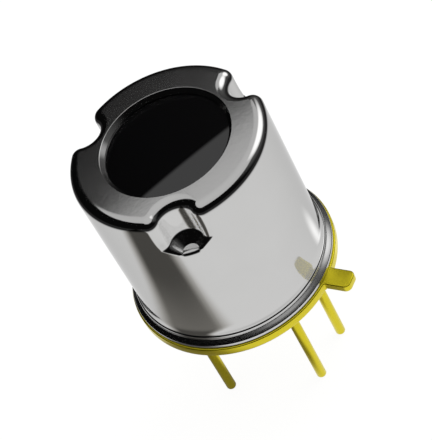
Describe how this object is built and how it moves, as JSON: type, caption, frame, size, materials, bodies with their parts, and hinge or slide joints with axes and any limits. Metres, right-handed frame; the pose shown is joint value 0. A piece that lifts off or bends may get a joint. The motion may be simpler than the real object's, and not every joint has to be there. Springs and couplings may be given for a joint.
{
  "type": "thermopile infrared sensor",
  "caption": "Round metal can sensor with a dark infrared window in its roof, crimps at the rim, and a plated base disc with a tab and wire leads.",
  "frame": {"origin": "centre of the header's underside, the plane that seats on a circuit board", "axes": "+Z along the can's axis towards the aperture, +X towards the locating tab"},
  "size_m": [0.0103, 0.0092, 0.0145],
  "materials": {
    "can_metal": "nickel plated steel, satin bright",
    "gold_plate": "gold plated",
    "window_silicon": "dark polished infrared filter",
    "adhesive": "cured adhesive",
    "seal_glass": "dark sealing glass, glossy",
    "braze": "braze, gold plated",
    "silicon": "sawn silicon",
    "film": "thin dielectric film",
    "film_metal": "thin metal film",
    "absorber_black": "soot black",
    "bond_gold": "bright gold wire"
  },
  "bodies": {
    "root": {"can": "can_metal", "window": "window_silicon", "window_bond": "adhesive", "header": "gold_plate", "positive_lead": "gold_plate", "negative_lead": "gold_plate", "reference_lead": "gold_plate", "ground_lead": "gold_plate", "positive_seal": "seal_glass", "negative_seal": "seal_glass", "reference_seal": "seal_glass", "ground_braze": "braze", "chip_bond": "adhesive", "thermopile_chip": "silicon", "membrane": "film", "thermocouples": "film_metal", "absorber": "absorber_black", "chip_pads": "film_metal", "reference_bond": "adhesive", "reference_chip": "silicon", "positive_wire": "bond_gold", "negative_wire": "bond_gold", "reference_wire": "bond_gold"}
  },
  "joints": []
}
